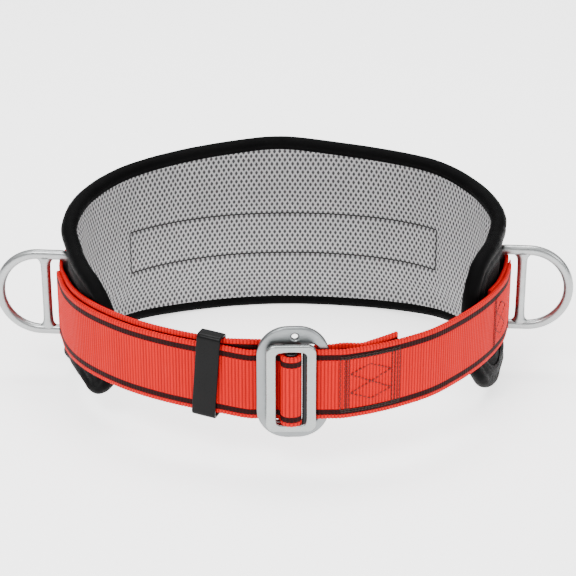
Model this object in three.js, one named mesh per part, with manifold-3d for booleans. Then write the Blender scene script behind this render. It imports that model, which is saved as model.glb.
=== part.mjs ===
// Work-positioning saddle for tree climbing: a padded waist belt that closes in front with a two-piece
// friction buckle and carries a swinging steel side ring on each hip.
// Millimetres, +Z up, -Y is the wearer's front, +X the side of the sewn strap.
// The origin is below the middle of the belt, on the surface that it stands on.

import * as THREE from "three";
import { mergeVertices } from "three/addons/utils/BufferGeometryUtils.js";
import Module from "manifold-3d";

const wasm = await Module();
wasm.setup();

// ---- driving dimensions -------------------------------------------------------------------------

const GAP = 0.3; // between touching pieces
const WEB = { width: 45, thick: 2.4 };
const LAYER = WEB.thick + GAP; // from one webbing layer to the next

// The belt's outermost line in plan, from the middle of the back over the left hip to the front and
// round the right hip. It sets the size of the whole belt.
const RIM_POINTS = [
  [0, 138], [-42, 134], [-82, 120], [-114, 98], [-136, 66], [-146, 30], [-145.5, 0], [-138, -27],
  [-126, -48], [-104, -72], [-81, -89], [-52, -104], [-22, -114], [0, -119], [22, -120.5], [39, -118],
  [54, -112.2], [69, -104.3], [85, -93.6], [101, -77.7], [118, -56.8], [131, -36], [141.5, -12],
  [146, 14], [145.5, 36], [136, 68], [115, 99], [83, 121], [42, 134],
];

const PAD = {
  shell: 1, // outer fabric
  board: 1.2, // stiffening sheet
  foam: 5,
  liner: 2, // spacer mesh on the body side
  edge: 9, // height of the padded binding
  flare: 2.5, // how far its lower edge stands out
};
PAD.thick = PAD.shell + PAD.board + PAD.foam + PAD.liner + 3 * GAP;

// The middle of the pad's bound edge: [distance along the rim from the back, height], over the left
// side to its front end, back along the bottom and round the right side.
const PAD_OUTLINE = [
  [0, 63.6], [40, 61], [80, 58.2], [120, 55.5], [160, 52.5], [190, 49.8], [212, 45.2], [235, 39.5],
  [256, 36], [275, 31], [288, 21.5], [295.5, 8], [298, -6], [296, -20], [290.5, -32], [281, -38],
  [266, -34.5], [243, -34], [205, -41], [160, -48.5], [110, -52.5], [60, -55.2], [0, -55.5],
  [-50, -55.4], [-90, -53.8], [-132, -50.5], [-170, -48.5], [-211, -48], [-234, -49.2], [-250, -49.5],
  [-266, -44.5], [-278, -32], [-285.5, -13], [-289.5, 4], [-289, 18], [-285.5, 29], [-278, 38],
  [-266, 42], [-248, 43], [-230, 44.2], [-212, 47], [-190, 49.8], [-160, 52.6], [-120, 56.2],
  [-80, 57.6], [-40, 60.2],
];

const RING = {
  bar: 6.4, // across the bar, in the ring's plane
  depth: 5.6, // through the bar
  height: 53.1, // between the middles of the two limbs
  cross: 15.2, // from the hinge bar to the cross bar
  arc: 19.6, // from the hinge bar to the centre of the round end
  y: 20,
  swing: { left: 6, right: -5 }, // degrees back from standing straight out
};

const FEMALE = {
  width: 43, height: 72, thick: 4, round: 18.5,
  front: -118, // y of the front face
  window: { left: -13.5, right: 15, half: 25 },
  hole: 1.9,
};

const MALE = {
  width: 29.3, height: 56, thick: 4, round: 5,
  x: -1.3, z: -0.6, front: -125.1,
  openWidth: 17.6, openHeight: 46.6, openRound: 2.6,
};
MALE.back = MALE.front + MALE.thick;

const BAR = { width: 7, depth: 6, y: -123.2, tab: 3.4, tabThick: 1.7, travel: 1.4 };
const GRIP = { x: 7.1, y: -123.1, r: 1.55, low: -26, high: 24 };
const KEEPER = { length: 15, wall: 1.8, inWidth: 51, inDepth: 7.2, x: -50.5, lean: 4.7 };
const LEG_END = -119.2; // y where the webbing round the bar meets the straps behind

// Heights of the webbing layers' middles, which don't lie quite in line in front.
const MAIN_LIFT = 1.2;
const TAIL_DROP = -2;

// ---- curves -------------------------------------------------------------------------------------

const V3 = (x, y, z) => new THREE.Vector3(x, y, z);
const UP = V3(0, 0, 1);
const rimCurve = new THREE.CatmullRomCurve3(
  RIM_POINTS.map(([x, y]) => V3(x, y, 0)), true, "centripetal",
);
rimCurve.arcLengthDivisions = 1200;
const RIM_LENGTH = rimCurve.getLength();

// A point at distance s along the rim (left is positive), moved inwards by inset and up by z.
function rimFrame(s) {
  const u = (((s / RIM_LENGTH) % 1) + 1) % 1;
  const point = rimCurve.getPointAt(u);
  const tangent = rimCurve.getTangentAt(u).setZ(0).normalize();
  const outward = V3(tangent.y, -tangent.x, 0);
  return { point, tangent, outward };
}

function rim(s, inset = 0, z = 0) {
  const { point, outward } = rimFrame(s);
  return point.addScaledVector(outward, -inset).add(V3(0, 0, z));
}

// The distance along the rim at which coordinate axis passes value, searched between two distances.
function rimWhere(axis, value, from, to) {
  let low = from;
  let high = to;
  const sign = Math.sign(rim(high)[axis] - value);
  for (let i = 0; i < 40; i++) {
    const middle = (low + high) / 2;
    if (Math.sign(rim(middle)[axis] - value) === sign) high = middle;
    else low = middle;
  }
  return (low + high) / 2;
}

const smooth = (t) => {
  const c = Math.min(1, Math.max(0, t));
  return c * c * (3 - 2 * c);
};

const RING_S = {
  left: rimWhere("y", RING.y, 120, 300),
  right: rimWhere("y", RING.y, -120, -300),
};

// How far s lies past the side ring, towards the front.
const pastRing = (s) => Math.abs(s) - (s > 0 ? RING_S.left : -RING_S.right);

// From the rim to the middle of the body webbing, which goes under a second layer past the rings.
const webInset = (s) => WEB.thick / 2 + LAYER * smooth(pastRing(s) / 26);

// From the rim to a depth inside the pad. The pad's lower edge stands out under the webbing, and a
// ring's hinge bar dents the pad, mostly by squashing the foam.
function padInset(s, z, depth) {
  const near = 1 - smooth((Math.abs(pastRing(s)) - 7) / 24);
  const level = 1 - smooth((Math.abs(z) - RING.height / 2 - RING.bar / 2 - 1) / 10);
  const dent = (RING.bar + 2 * GAP) * near * level;
  const foamStart = PAD.shell + PAD.board + 2 * GAP;
  const squash = 0.6 * dent * Math.min(1, Math.max(0, (depth - foamStart) / PAD.foam));
  const flare = PAD.flare * smooth((-z - 25) / 16);
  return webInset(s) + WEB.thick / 2 + GAP + dent - squash - flare + depth;
}

const outlineCurve = new THREE.CatmullRomCurve3(
  PAD_OUTLINE.map(([s, z]) => V3(s, z, 0)), true, "centripetal",
);

// The pad's outline as points, moved in by a distance.
function outlinePoints(inward, perSpan) {
  const count = PAD_OUTLINE.length * perSpan;
  return Array.from({ length: count }, (_, i) => {
    const p = outlineCurve.getPoint(i / count);
    const t = outlineCurve.getTangent(i / count);
    return p.add(V3(t.y, -t.x, 0).multiplyScalar(inward));
  });
}

// The lowest and highest point of an outline at distance s along the rim.
function spanAt(outline, s) {
  const heights = [];
  outline.forEach((a, i) => {
    const b = outline[(i + 1) % outline.length];
    if (a.x > s === b.x > s) return;
    heights.push(THREE.MathUtils.mapLinear(s, a.x, b.x, a.y, b.y));
  });
  return [Math.min(...heights), Math.max(...heights)];
}

// Distances along an outline, closer together where its ends are rounded.
function padStations(outline) {
  const rounded = 40;
  const half = (end) => {
    const flat = end - Math.sign(end) * rounded;
    const list = [];
    for (let i = 1; i <= 14; i++) list.push((flat * i) / 14);
    for (let i = 1; i <= 8; i++) {
      list.push(flat + (end - flat) * Math.sin(((Math.PI / 2) * i) / 8.3));
    }
    return list;
  };
  const ends = outline.map((p) => p.x);
  return [...half(Math.min(...ends)).reverse(), 0, ...half(Math.max(...ends))];
}

// ---- solids -------------------------------------------------------------------------------------

function geometryOf(points, triangles) {
  const g = new THREE.BufferGeometry();
  g.setAttribute("position", new THREE.Float32BufferAttribute(points.flatMap((p) => [p.x, p.y, p.z]), 3));
  g.setIndex(triangles);
  return g;
}

function toSolid(geometry) {
  const g = geometry.clone();
  g.deleteAttribute("normal");
  g.deleteAttribute("uv");
  const merged = mergeVertices(g, 1e-4);
  return new wasm.Manifold(
    new wasm.Mesh({
      numProp: 3,
      vertProperties: merged.attributes.position.array,
      triVerts: new Uint32Array(merged.index.array),
    }),
  );
}

function fromSolid(solid) {
  const mesh = solid.getMesh();
  const g = new THREE.BufferGeometry();
  g.setAttribute("position", new THREE.Float32BufferAttribute(Array.from(mesh.vertProperties), 3));
  g.setIndex(Array.from(mesh.triVerts));
  return g;
}

// Rings of points joined into one closed body: an open run gets end caps, a closed one joins up.
// From point number turned on, the four-sided faces are split along their other diagonal.
function loft(rings, closed, turned = Infinity) {
  const k = rings[0].length;
  const triangles = [];
  const last = closed ? rings.length : rings.length - 1;
  for (let i = 0; i < last; i++) {
    const a = i * k;
    const b = ((i + 1) % rings.length) * k;
    for (let j = 0; j < k; j++) {
      const n = (j + 1) % k;
      if (j < turned) triangles.push(a + j, b + j, b + n, a + j, b + n, a + n);
      else triangles.push(a + j, b + j, a + n, b + j, b + n, a + n);
    }
  }
  if (!closed) {
    const end = (rings.length - 1) * k;
    for (let j = 1; j < k - 1; j++) {
      triangles.push(0, j, j + 1);
      triangles.push(end, end + j + 1, end + j);
    }
  }
  return geometryOf(rings.flat(), triangles);
}

// Webbing standing on edge along a path: its flat side faces away from the path's inside. Its
// cross-sections stand closer together where the path bends.
function ribbon(pathPoints, spacing = 8, turn = 14) {
  const curve = new THREE.CatmullRomCurve3(pathPoints, false, "centripetal");
  const fine = Math.ceil(curve.getLength() * 3);
  curve.arcLengthDivisions = fine;
  const points = curve.getSpacedPoints(fine);
  const heading = (i) => {
    const t = points[Math.min(fine, i + 1)].clone().sub(points[Math.max(0, i - 1)]);
    return Math.atan2(t.y, t.x);
  };
  const rings = [];
  let travelled = 0;
  let turned = 0;
  for (let i = 0; i <= fine; i++) {
    if (i > 0) {
      const change = heading(i) - heading(i - 1);
      turned += Math.abs(Math.atan2(Math.sin(change), Math.cos(change)));
      travelled += points[i].distanceTo(points[i - 1]);
    }
    const due = travelled >= spacing || turned >= THREE.MathUtils.degToRad(turn);
    const nearEnd = i > fine - 3 && i < fine;
    if ((i > 0 && i < fine && !due) || nearEnd) continue;
    const n = V3(Math.sin(heading(i)), -Math.cos(heading(i)), 0).multiplyScalar(WEB.thick / 2);
    const h = UP.clone().multiplyScalar(WEB.width / 2);
    const p = points[i];
    rings.push([
      p.clone().add(n).sub(h), p.clone().add(n).add(h), p.clone().sub(n).add(h), p.clone().sub(n).sub(h),
    ]);
    travelled = 0;
    turned = 0;
  }
  return loft(rings, false);
}

// One layer of the pad, between two depths behind its outer face.
function padLayer(outer, inner) {
  const outline = outlinePoints(PAD.edge / 2 + GAP, 8);
  const levels = 6;
  const rings = padStations(outline).map((s) => {
    const [low, high] = spanAt(outline, s);
    const step = Math.min(2, (high - low) / (2 * levels));
    const height = (i) => {
      const usual = [low, -38, -25.5, 0, 25.5, 38, high][i];
      return Math.min(high - (levels - i) * step, Math.max(low + i * step, usual));
    };
    const ring = [];
    for (let i = 0; i <= levels; i++) ring.push(rim(s, padInset(s, height(i), outer), height(i)));
    for (let i = levels; i >= 0; i--) ring.push(rim(s, padInset(s, height(i), inner), height(i)));
    return ring;
  });
  return loft(rings, false, levels + 1);
}

// The padded roll that binds the pad's edge all the way round.
function padBinding() {
  const centre = outlinePoints(0, 3).map(({ x: s, y: z }) => {
    const [outer, inner] = [rim(s, padInset(s, z, 0), z), rim(s, padInset(s, z, PAD.thick), z)];
    return { middle: outer.clone().lerp(inner, 0.5), across: outer.sub(inner).divideScalar(2) };
  });
  const sides = 8;
  const rings = centre.map(({ middle, across }, i) => {
    const before = centre[(i + centre.length - 1) % centre.length].middle;
    const after = centre[(i + 1) % centre.length].middle;
    const t = after.clone().sub(before).normalize();
    const side = t.cross(across).normalize().multiplyScalar(PAD.edge / 2);
    return Array.from({ length: sides }, (_, j) => {
      const a = (-2 * Math.PI * (j + 0.5)) / sides;
      return middle.clone().addScaledVector(across, Math.cos(a)).addScaledVector(side, Math.sin(a));
    });
  });
  return loft(rings, true);
}

// A flat plate in the XZ plane, between y = front and y = front + thick.
function plate(shape, front, thick, curveSegments = 8) {
  const g = new THREE.ExtrudeGeometry(shape, { depth: thick, bevelEnabled: false, curveSegments });
  g.rotateX(Math.PI / 2);
  g.translate(0, front + thick, 0);
  return g;
}

function roundedRectangle(target, x0, x1, z0, z1, r) {
  target.moveTo(x0 + r, z0);
  target.lineTo(x1 - r, z0);
  target.absarc(x1 - r, z0 + r, r, -Math.PI / 2, 0);
  target.lineTo(x1, z1 - r);
  target.absarc(x1 - r, z1 - r, r, 0, Math.PI / 2);
  target.lineTo(x0 + r, z1);
  target.absarc(x0 + r, z1 - r, r, Math.PI / 2, Math.PI);
  target.lineTo(x0, z0 + r);
  target.absarc(x0 + r, z0 + r, r, Math.PI, 1.5 * Math.PI);
  return target;
}

function box(x0, x1, y0, y1, z0, z1) {
  const g = new THREE.BoxGeometry(x1 - x0, y1 - y0, z1 - z0);
  g.translate((x0 + x1) / 2, (y0 + y1) / 2, (z0 + z1) / 2);
  return g;
}

function uprightRod(x, y, r, z0, z1, sides = 16) {
  const g = new THREE.CylinderGeometry(r, r, z1 - z0, sides);
  g.rotateX(Math.PI / 2);
  g.translate(x, y, (z0 + z1) / 2);
  return g;
}

// ---- the webbing --------------------------------------------------------------------------------

const LEG = BAR.width / 2 + GAP + WEB.thick / 2; // from the bar's middle to the webbing at its side

// The body webbing: from under the right strap, round the back, through both side rings and along the
// left front, then behind the buckle and up to the adjuster bar.
function mainWebbing() {
  const start = RING_S.right - 62;
  const finish = rimWhere("x", -44, 300, 420);
  const points = [];
  for (let i = 0; i <= 40; i++) {
    const s = THREE.MathUtils.lerp(start, finish, i / 40);
    points.push(rim(s, webInset(s), MAIN_LIFT * smooth((s - RING_S.left - 12) / 40)));
  }
  const x = MALE.x + LEG;
  points.push(V3(-25, -107.6, 2), V3(-9, -105.9, 0.5), V3(-1.2, -107, -0.4));
  points.push(V3(x - 0.5, -111.2, -1), V3(x, -115, -1), V3(x, LEG_END + GAP, -1));
  return ribbon(points);
}

// The free end: out of the adjuster, back under the keeper and along the left hip.
function tailWebbing() {
  const x = MALE.x - LEG;
  const points = [
    V3(x, LEG_END + GAP, -1), V3(x - 0.1, -115.6, -1), V3(x - 2.2, -112.2, -1.2), V3(x - 8, -110.7, -1.8),
    V3(-25, -110.9, -3),
  ];
  const start = rimWhere("x", -44, 300, 420);
  const finish = RING_S.left + 15;
  for (let i = 0; i <= 18; i++) {
    const s = THREE.MathUtils.lerp(start, finish, i / 18);
    points.push(rim(s, webInset(s) - LAYER, TAIL_DROP * smooth((s - RING_S.left - 5) / 30)));
  }
  return ribbon(points);
}

// The bight of webbing that wraps the adjuster bar and fills the male frame's opening.
function barWebbing() {
  const points = [V3(MALE.x + LEG, LEG_END, -1)];
  const turn = 10;
  for (let i = 0; i <= turn; i++) {
    const a = (Math.PI * i) / turn;
    const forward = (BAR.depth / 2 + GAP + WEB.thick / 2) * Math.sin(a);
    points.push(V3(MALE.x + LEG * Math.cos(a), BAR.y - forward, -1));
  }
  points.push(V3(MALE.x - LEG, LEG_END, -1));
  return ribbon(points);
}

// The right front strap: sewn to the body webbing by the ring, then round the buckle plate's bar and
// sewn back onto itself.
function rightStrap() {
  const bar = { x: FEMALE.window.right + 0.6, y: FEMALE.front + FEMALE.thick / 2 };
  const r = 3.6;
  const points = [];
  const sewnEnd = rimWhere("x", 64, -300, -420);
  const joins = rimWhere("x", 42, -300, -425);
  for (let i = 0; i <= 4; i++) {
    const s = THREE.MathUtils.lerp(sewnEnd, joins, i / 4);
    points.push(rim(s, webInset(s), 1.5));
  }
  points.push(V3(30, bar.y + r + 0.6, 0.8), V3(22, bar.y + r, 0));
  for (let i = 0; i <= 8; i++) {
    const a = Math.PI / 2 + (Math.PI * i) / 8;
    points.push(V3(bar.x + r * Math.cos(a), bar.y + r * Math.sin(a), 0));
  }
  points.push(V3(22, bar.y - r, 0), V3(29, bar.y - r + 0.1, 0));
  const finish = RING_S.right - 8;
  for (let i = 0; i <= 26; i++) {
    const s = THREE.MathUtils.lerp(joins, finish, i / 26);
    points.push(rim(s, webInset(s) - LAYER, 0));
  }
  return ribbon(points);
}

// ---- the buckle ---------------------------------------------------------------------------------

// The larger plate, with a window that the male frame passes through when it is turned on edge.
function femalePlate() {
  const { width, height, round, window: w } = FEMALE;
  const shape = roundedRectangle(new THREE.Shape(), -width / 2, width / 2, -height / 2, height / 2, round);
  shape.holes.push(roundedRectangle(new THREE.Path(), w.left, w.right, -w.half, w.half, 4));
  const hole = new THREE.Path();
  hole.absarc(1, (w.half + height / 2) / 2 - 0.6, FEMALE.hole, 0, 2 * Math.PI);
  shape.holes.push(hole);
  return plate(shape, FEMALE.front, FEMALE.thick, 6);
}

// The smaller frame that hooks over the plate. Behind its upper and lower rail are pockets for the
// adjuster bar's tabs, and the grip rod is let into its right rail.
function maleFrame() {
  const { x, z, width, height, openWidth, openHeight } = MALE;
  const [top, bottom] = [z + openHeight / 2, z - openHeight / 2];
  const shape = roundedRectangle(
    new THREE.Shape(), x - width / 2, x + width / 2, z - height / 2, z + height / 2, MALE.round,
  );
  shape.holes.push(
    roundedRectangle(new THREE.Path(), x - openWidth / 2, x + openWidth / 2, bottom, top, MALE.openRound),
  );
  const left = x - BAR.width / 2 - BAR.travel - GAP;
  const right = x + BAR.width / 2 + GAP;
  const pocket = (z0, z1) => toSolid(box(left, right, MALE.back - 2.2, MALE.back + 1, z0, z1));
  const depth = BAR.tab + 0.2;
  const solid = toSolid(plate(shape, MALE.front, MALE.thick, 5))
    .subtract(pocket(top - 1, top + depth - 0.4))
    .subtract(pocket(bottom - depth + 0.4, bottom + 1))
    .subtract(toSolid(uprightRod(GRIP.x, GRIP.y, GRIP.r + GAP, GRIP.low - GAP, GRIP.high + GAP)));
  return fromSolid(solid);
}

// The floating bar that the webbing wraps: an oval rod with a flat tab at each end.
function adjusterBar() {
  const half = MALE.openHeight / 2 - 0.4;
  const oval = new THREE.Shape();
  oval.absellipse(MALE.x, BAR.y, BAR.width / 2, BAR.depth / 2, 0, 2 * Math.PI);
  const rod = new THREE.ExtrudeGeometry(oval, { depth: 2 * half, bevelEnabled: false, curveSegments: 8 });
  rod.translate(0, 0, MALE.z - half);
  const reach = half + BAR.tab - 0.4;
  const y1 = MALE.back - GAP;
  const tabs = box(
    MALE.x - BAR.width / 2, MALE.x + BAR.width / 2, y1 - BAR.tabThick, y1, MALE.z - reach, MALE.z + reach,
  );
  return fromSolid(toSolid(rod).add(toSolid(tabs)));
}

// ---- the keeper and the side rings --------------------------------------------------------------

// The keeper stands across the two left layers, its top leaning a little towards the buckle, and
// slides along them, following their curve.
const keeperS = rimWhere("x", KEEPER.x, 300, 420);

function keeperLoop() {
  const { inWidth, inDepth, wall, length } = KEEPER;
  const outer = roundedRectangle(
    new THREE.Shape(), -inDepth / 2 - wall, inDepth / 2 + wall, -inWidth / 2 - wall, inWidth / 2 + wall, 3,
  );
  outer.holes.push(
    roundedRectangle(new THREE.Path(), -inDepth / 2, inDepth / 2, -inWidth / 2, inWidth / 2, 1.6),
  );
  const g = plate(outer, -length / 2, length, 4);
  const { tangent } = rimFrame(keeperS);
  g.rotateX(-THREE.MathUtils.degToRad(KEEPER.lean));
  g.rotateZ(Math.atan2(tangent.y, tangent.x) - Math.PI / 2);
  const middle = rim(keeperS, WEB.thick + GAP / 2, (MAIN_LIFT + TAIL_DROP) / 2);
  return { geometry: g, middle };
}

// A side ring in its own plane: x away from the hinge bar's middle, z up.
function sideRing() {
  const half = RING.height / 2;
  const corner = 4;
  const outline = [];
  for (let i = 0; i <= 4; i++) {
    const a = Math.PI + (Math.PI / 2) * (i / 4);
    outline.push([corner + corner * Math.cos(a), -half + corner + corner * Math.sin(a)]);
  }
  for (let i = 0; i <= 16; i++) {
    const a = -Math.PI / 2 + (Math.PI * i) / 16;
    outline.push([RING.arc + half * Math.cos(a), half * Math.sin(a)]);
  }
  for (let i = 0; i <= 4; i++) {
    const a = Math.PI / 2 + (Math.PI / 2) * (i / 4);
    outline.push([corner + corner * Math.cos(a), half - corner + corner * Math.sin(a)]);
  }
  const sides = 10;
  const rings = outline.map(([x, z], i) => {
    const [bx, bz] = outline[(i + outline.length - 1) % outline.length];
    const [ax, az] = outline[(i + 1) % outline.length];
    const t = V3(ax - bx, 0, az - bz).normalize();
    const outwards = V3(t.z, 0, -t.x).multiplyScalar(RING.bar / 2);
    return Array.from({ length: sides }, (_, j) => {
      const a = (-2 * Math.PI * (j + 0.5)) / sides;
      return V3(x, (RING.depth / 2) * Math.sin(a), z).addScaledVector(outwards, Math.cos(a));
    });
  });
  const cross = uprightRod(0, 0, RING.bar / 2, -half, half, sides);
  cross.scale(0.98, (0.98 * RING.depth) / RING.bar, 1);
  cross.translate(RING.cross, 0, 0);
  return fromSolid(toSolid(loft(rings, true)).add(toSolid(cross)));
}

// Where a ring hinges: in the fold between the webbing and the pad.
function ringPivot(s) {
  return rim(s, webInset(s) + WEB.thick / 2 + 2 * GAP + RING.bar / 2);
}

// ---- assembly -----------------------------------------------------------------------------------

const MATERIALS = {
  webbing: [0xd8211d, 0.75, 0],
  shell: [0x1b1b1d, 0.7, 0],
  liner: [0xa9a9ab, 0.9, 0],
  foam: [0x55565a, 0.9, 0],
  board: [0xe6e2d6, 0.5, 0],
  buckle: [0xb9bdbf, 0.32, 1],
  forged: [0xc9cccd, 0.28, 1],
  dark: [0x3b3c3e, 0.45, 1],
  keeper: [0x232425, 0.3, 0],
};

function piece(name, geometry, look) {
  const [color, roughness, metalness] = MATERIALS[look];
  const material = new THREE.MeshStandardMaterial({ color, roughness, metalness });
  const mesh = new THREE.Mesh(geometry, material);
  mesh.name = name;
  return mesh;
}

const belt = new THREE.Group();

let depth = 0;
for (const [name, thick, look] of [
  ["pad_shell", PAD.shell, "shell"],
  ["pad_stiffener", PAD.board, "board"],
  ["pad_foam", PAD.foam, "foam"],
  ["pad_liner", PAD.liner, "liner"],
]) {
  belt.add(piece(name, padLayer(depth, depth + thick), look));
  depth += thick + GAP;
}
belt.add(piece("pad_binding", padBinding(), "shell"));

belt.add(piece("main_webbing", mainWebbing(), "webbing"));
belt.add(piece("tail_webbing", tailWebbing(), "webbing"));
belt.add(piece("right_strap", rightStrap(), "webbing"));
belt.add(piece("bar_webbing", barWebbing(), "webbing"));

belt.add(piece("buckle_plate", femalePlate(), "buckle"));
belt.add(piece("buckle_frame", maleFrame(), "buckle"));
belt.add(piece("adjuster_bar", adjusterBar(), "dark"));
belt.add(piece("grip_rod", uprightRod(GRIP.x, GRIP.y, GRIP.r, GRIP.low, GRIP.high, 12), "dark"));

const keeper = keeperLoop();
const keeperMesh = piece("keeper", keeper.geometry, "keeper");
keeperMesh.position.copy(keeper.middle);
belt.add(keeperMesh);

for (const [side, mirror] of [["left", -1], ["right", 1]]) {
  const ring = piece("side_ring_" + side, sideRing(), "forged");
  const { outward } = rimFrame(RING_S[side]);
  ring.position.copy(ringPivot(RING_S[side]));
  ring.rotation.z = Math.atan2(outward.y, outward.x) + mirror * THREE.MathUtils.degToRad(RING.swing[side]);
  belt.add(ring);
}

// The belt is placed with the middle of its box above the origin and its lowest point at z = 0.
belt.updateMatrixWorld(true);
const bounds = new THREE.Box3().setFromObject(belt, true);
const middle = bounds.getCenter(V3(0, 0, 0));
belt.position.set(-middle.x, -middle.y, -bounds.min.z);

export default belt;
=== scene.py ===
"""Looks of the tree climbing saddle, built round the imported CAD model.

Lengths in the tables and functions below are millimetres in the belt's own frame, whose origin is the
middle of the waist at the webbing's mid-height. The function place() turns them into the row frame.
"""

import math

import bmesh
import bpy
import numpy as np
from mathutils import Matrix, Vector
from mathutils.bvhtree import BVHTree


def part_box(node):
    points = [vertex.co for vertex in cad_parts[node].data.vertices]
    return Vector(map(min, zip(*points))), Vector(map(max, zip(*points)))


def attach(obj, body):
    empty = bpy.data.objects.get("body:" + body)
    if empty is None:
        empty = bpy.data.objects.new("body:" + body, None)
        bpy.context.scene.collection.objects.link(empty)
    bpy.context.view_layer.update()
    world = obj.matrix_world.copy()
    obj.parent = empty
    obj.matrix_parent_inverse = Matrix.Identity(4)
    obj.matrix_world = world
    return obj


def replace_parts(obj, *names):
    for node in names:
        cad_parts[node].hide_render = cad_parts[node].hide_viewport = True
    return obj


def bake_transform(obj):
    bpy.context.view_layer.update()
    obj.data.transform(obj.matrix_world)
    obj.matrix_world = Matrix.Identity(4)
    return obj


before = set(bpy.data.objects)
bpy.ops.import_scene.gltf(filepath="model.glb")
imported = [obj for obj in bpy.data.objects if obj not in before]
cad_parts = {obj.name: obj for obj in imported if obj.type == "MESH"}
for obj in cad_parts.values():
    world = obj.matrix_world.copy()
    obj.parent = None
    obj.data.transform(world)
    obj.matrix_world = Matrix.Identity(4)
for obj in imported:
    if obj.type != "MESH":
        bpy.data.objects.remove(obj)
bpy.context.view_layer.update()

# ---- driving dimensions --------------------------------------------------------------------------

GAP = 0.3
WEB = {"width": 45.0, "thick": 2.3, "layer": 2.7, "rib": 2.1, "tracer": 17.8, "tracer_height": 3.6}
PAD = {"thick": 10.1, "edge": 9.0, "flare": 2.5}
RING = {"bar": 6.4, "depth": 5.6, "height": 53.1, "cross": 15.2, "arc": 19.6, "y": 20.0}
RING_SWING = {"left": 6.0, "right": -5.0}
PLATE = {"width": 43.0, "height": 72.0, "thick": 4.0, "round": 18.5, "front": -118.0}
PLATE_WINDOW = {"left": -13.5, "right": 15.0, "half": 25.0, "round": 4.0}
HOOK = {"x": -1.3, "z": -0.6, "width": 29.3, "height": 56.0, "thick": 4.0, "front": -125.1, "round": 5.0}
HOOK_OPENING = {"width": 17.6, "height": 46.6, "round": 2.6}
BAR = {"width": 7.0, "depth": 6.0, "y": -123.2, "tab": 3.4, "tab_thick": 1.7}
GRIP = {"x": 6.7, "y": -123.1, "r": 1.6, "low": -26.0, "high": 24.0}
KEEPER = {"length": 15.0, "wall": 1.8, "in_width": 51.0, "in_depth": 7.2, "x": -50.5, "lean": 4.7}
SEAM = {"left": 120.0, "right": -124.0, "z": -2.9, "half": 15.0, "depth": 1.2}  # stitched on the liner
STRAP_BOX = {"near": -408.3, "far": -369.6, "ring": -273.0}  # where the strap is sewn, along the rim
SEAM_STEPS = np.array([-2.2, -1.3, -0.7, -0.3, 0, 0.3, 0.7, 1.3, 2.2])  # mesh lines beside a seam
CUSHION_VOXEL = 0.004  # metres
MAIN_LIFT = 1.2  # the webbing layers don't lie quite in line in front
TAIL_DROP = -2.0
MESH_PITCH = 3.8  # the liner's holes along the belt
MESH_ROW = 3.0  # and from one staggered row to the next

RIM_POINTS = [
    (0, 138), (-42, 134), (-82, 120), (-114, 98), (-136, 66), (-146, 30), (-145.5, 0), (-138, -27),
    (-126, -48), (-104, -72), (-81, -89), (-52, -104), (-22, -114), (0, -119), (22, -120.5),
    (39, -118), (54, -112.2), (69, -104.3), (85, -93.6), (101, -77.7), (118, -56.8), (131, -36),
    (141.5, -12), (146, 14), (145.5, 36), (136, 68), (115, 99), (83, 121), (42, 134),
]
PAD_OUTLINE = [
    (0, 63.6), (40, 61), (80, 58.2), (120, 55.5), (160, 52.5), (190, 49.8), (212, 45.2), (235, 39.5),
    (256, 36), (275, 31), (288, 21.5), (295.5, 8), (298, -6), (296, -20), (290.5, -32), (281, -38),
    (266, -34.5), (243, -34), (205, -41), (160, -48.5), (110, -52.5), (60, -55.2), (0, -55.5),
    (-50, -55.4), (-90, -53.8), (-132, -50.5), (-170, -48.5), (-211, -48), (-234, -49.2),
    (-250, -49.5), (-266, -44.5), (-278, -32), (-285.5, -13), (-289.5, 4), (-289, 18), (-285.5, 29),
    (-278, 38), (-266, 42), (-248, 43), (-230, 44.2), (-212, 47), (-190, 49.8), (-160, 52.6),
    (-120, 56.2), (-80, 57.6), (-40, 60.2),
]

# ---- the belt's frame ----------------------------------------------------------------------------


def belt_origin():
    """The belt frame's origin in the row frame, in metres, from where the buckle plate lies."""
    low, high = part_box("buckle_plate")
    return np.array([(low[0] + high[0]) / 2, low[1] - PLATE["front"] / 1000, (low[2] + high[2]) / 2])


ORIGIN = belt_origin()


def place(points):
    """Belt frame millimetres to row frame metres."""
    return np.asarray(points, float) / 1000 + ORIGIN


# ---- curves --------------------------------------------------------------------------------------


def catmull_rom(points, closed, per_span):
    """A centripetal Catmull-Rom curve through points, sampled per_span times in each span."""
    p = np.asarray(points, float)
    count = len(p)
    if closed:
        p = np.vstack([p[-1], p, p[0], p[1]])
    else:
        p = np.vstack([2 * p[0] - p[1], p, 2 * p[-1] - p[-2]])
    t = np.linspace(0, 1, per_span, endpoint=False)[:, None]
    out = []
    for i in range(count if closed else count - 1):
        a, b, c, d = p[i : i + 4]
        k0, k1, k2 = (max(np.linalg.norm(q) ** 0.5, 1e-4) for q in (b - a, c - b, d - c))
        m1 = ((b - a) / k0 - (c - a) / (k0 + k1) + (c - b) / k1) * k1
        m2 = ((c - b) / k1 - (d - b) / (k1 + k2) + (d - c) / k2) * k1
        cubic = 2 * b - 2 * c + m1 + m2
        square = -3 * b + 3 * c - 2 * m1 - m2
        out.append(cubic * t**3 + square * t**2 + m1 * t + b)
    out = np.vstack(out)
    return out if closed else np.vstack([out, p[-2]])


def lengths_along(points):
    return np.concatenate([[0], np.cumsum(np.linalg.norm(np.diff(points, axis=0), axis=1))])


def resample(points, step):
    """Points at equal steps along an open polyline, and how far along each one is."""
    at = lengths_along(points)
    u = np.linspace(0, at[-1], max(2, int(round(at[-1] / step)) + 1))
    return np.stack([np.interp(u, at, points[:, k]) for k in range(points.shape[1])], 1), u


def smooth(t):
    c = np.clip(t, 0, 1)
    return c * c * (3 - 2 * c)


def unit(v):
    return v / np.linalg.norm(v, axis=-1, keepdims=True)


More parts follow.
